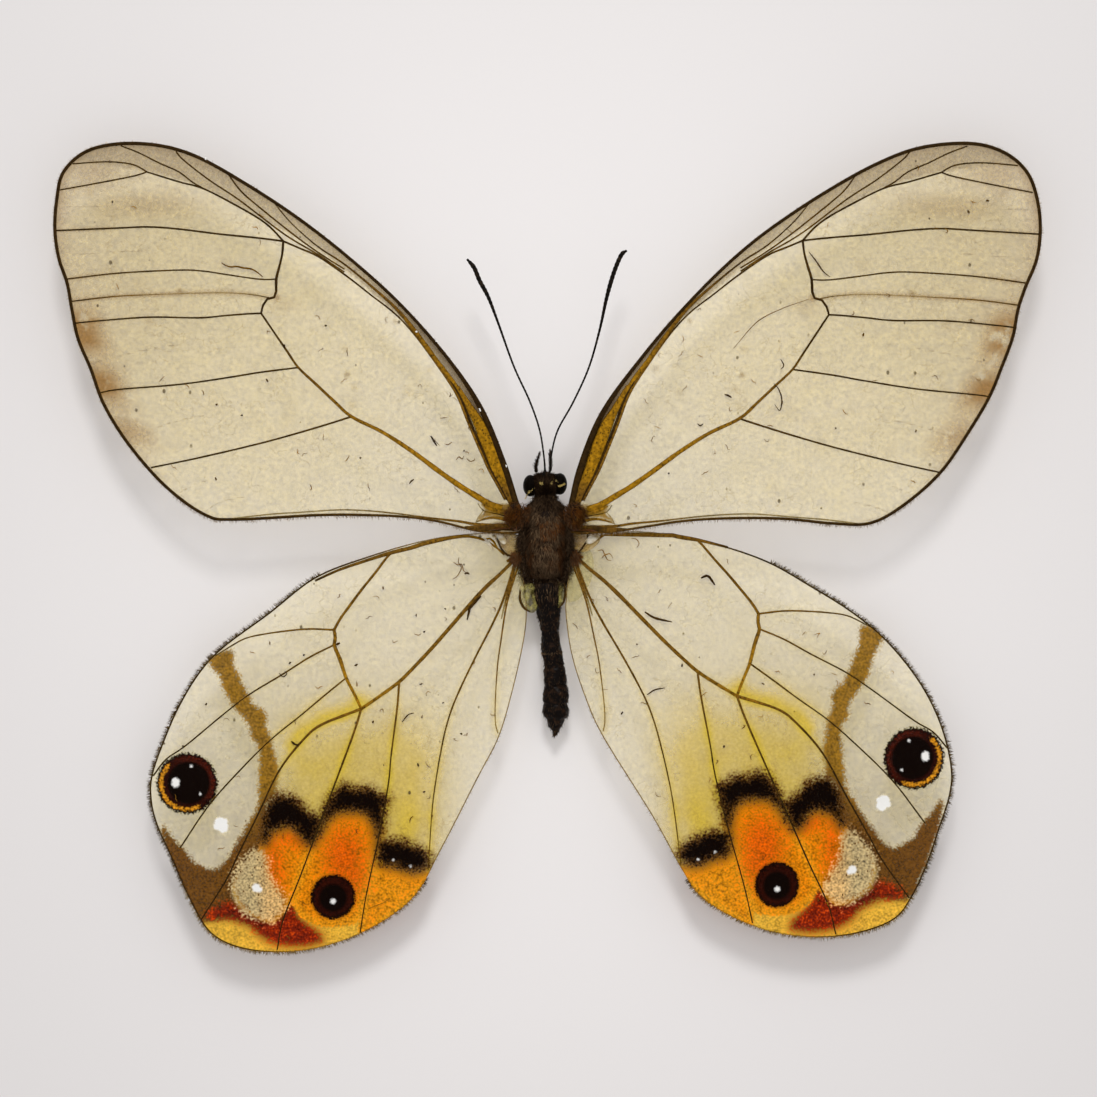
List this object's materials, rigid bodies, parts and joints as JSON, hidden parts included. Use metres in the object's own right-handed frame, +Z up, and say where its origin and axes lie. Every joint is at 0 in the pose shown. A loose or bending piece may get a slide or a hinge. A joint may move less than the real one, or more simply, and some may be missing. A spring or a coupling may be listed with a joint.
{
  "type": "spread butterfly specimen",
  "caption": "Dried clearwing butterfly, spread flat as a specimen: fuzzy thorax, shrivelled abdomen, clubbed antennae and see-through veined wings, laid on its underside for display.",
  "frame": {"origin": "middle of the flat underside of the thorax, where the specimen rests", "axes": "+X to the specimen's right, +Y towards the head, +Z up, off the surface it lies on"},
  "size_m": [0.0657, 0.0539, 0.0039],
  "materials": {
    "body_fuzz": "matte brown-black hair and scales",
    "dark_chitin": "dry dark brown chitin",
    "dark_eye": "smooth dull black",
    "forewing_membrane": "clear straw-coloured membrane with brown veins",
    "hindwing_membrane": "clear yellowish membrane with brown, black and orange scaling"
  },
  "bodies": {
    "root": {"thorax": "body_fuzz", "abdomen": "dark_chitin", "head": "body_fuzz", "eye_left": "dark_eye", "eye_right": "dark_eye", "palp_left": "body_fuzz", "palp_right": "body_fuzz", "proboscis": "dark_chitin", "antenna_left": "dark_chitin", "antenna_right": "dark_chitin", "tegula_left": "body_fuzz", "tegula_right": "body_fuzz", "forewing_left": "forewing_membrane", "forewing_right": "forewing_membrane", "hindwing_left": "hindwing_membrane", "hindwing_right": "hindwing_membrane", "foreleg_left": "dark_chitin", "foreleg_right": "dark_chitin", "middle_leg_left": "dark_chitin", "middle_leg_right": "dark_chitin", "hind_leg_left": "dark_chitin", "hind_leg_right": "dark_chitin"}
  },
  "joints": []
}
